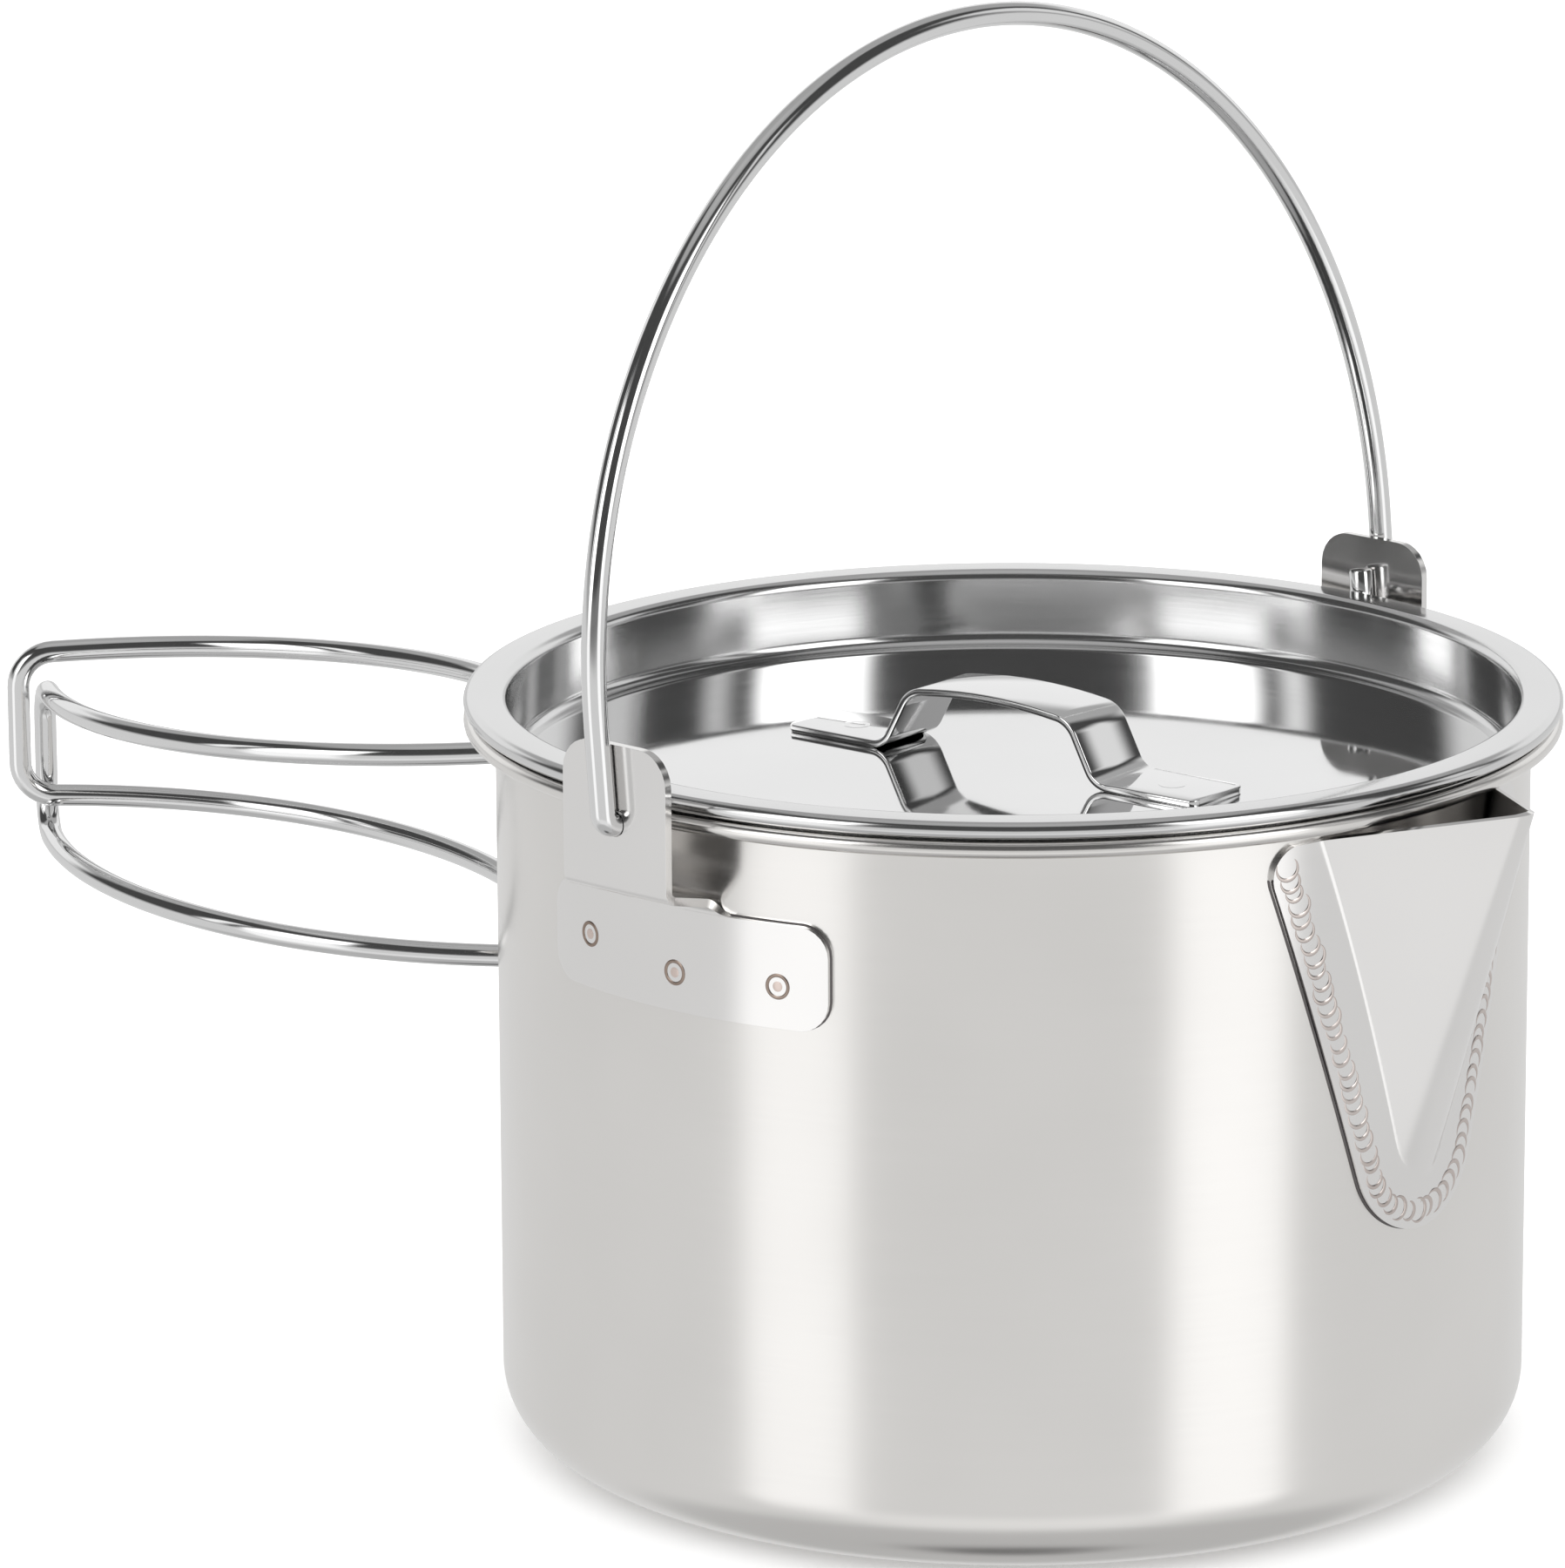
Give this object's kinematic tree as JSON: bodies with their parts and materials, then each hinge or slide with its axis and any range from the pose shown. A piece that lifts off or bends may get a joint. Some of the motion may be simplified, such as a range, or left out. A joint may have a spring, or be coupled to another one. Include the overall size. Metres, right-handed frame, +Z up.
{
  "type": "camping pot",
  "caption": "Straight-sided camping pot with a pouring spout, recessed lid with a flush strap handle, swinging wire bail and crossing wire side handles that fold round the pot.",
  "frame": {"origin": "centre of the pot's flat base, on the surface that it stands on", "axes": "+X from the pot's axis towards the spout, +Z up, and Y along the bail's pivot axis; the side handles point roughly along -X"},
  "size_m": [0.2266, 0.143, 0.1693],
  "materials": {
    "pot_steel": "satin polished stainless steel, spun",
    "spout_steel": "satin stainless sheet with spot-weld marks along its flange",
    "lid_steel": "polished stainless, mirror floor and spun wall",
    "bracket_steel": "polished stainless stamping",
    "wire_steel": "polished stainless wire",
    "strap_steel": "polished stainless strap with dull cut edges"
  },
  "bodies": {
    "pot": {"pot_body": "pot_steel", "spout": "spout_steel", "bail_bracket_front": "bracket_steel", "bail_bracket_rear": "bracket_steel", "hinge_plate_upper": "bracket_steel", "hinge_plate_lower": "bracket_steel"},
    "bail": {"bail": "wire_steel"},
    "upper_handle": {"handle_loop_upper": "wire_steel"},
    "lower_handle": {"handle_loop_lower": "wire_steel"},
    "lid": {"lid": "lid_steel", "lid_handle": "strap_steel"}
  },
  "joints": [
    {"name": "bail_swing", "type": "hinge", "parent": "pot", "child": "bail", "pos_m": [0, 0, 0.0867], "axis": [0, 1, 0], "range_deg": [-85, 125]},
    {"name": "upper_handle_fold", "type": "hinge", "parent": "pot", "child": "upper_handle", "pos_m": [-0.06447, -0.01011, 0.062], "axis": [0, 0, 1], "range_deg": [0, 130]},
    {"name": "lower_handle_fold", "type": "hinge", "parent": "pot", "child": "lower_handle", "pos_m": [-0.06509, -0.00465, 0.062], "axis": [0, 0, -1], "range_deg": [0, 130]},
    {"name": "lid_lift", "type": "slide", "parent": "pot", "child": "lid", "axis": [0, 0, 1], "range_m": [0, 0.03]}
  ]
}
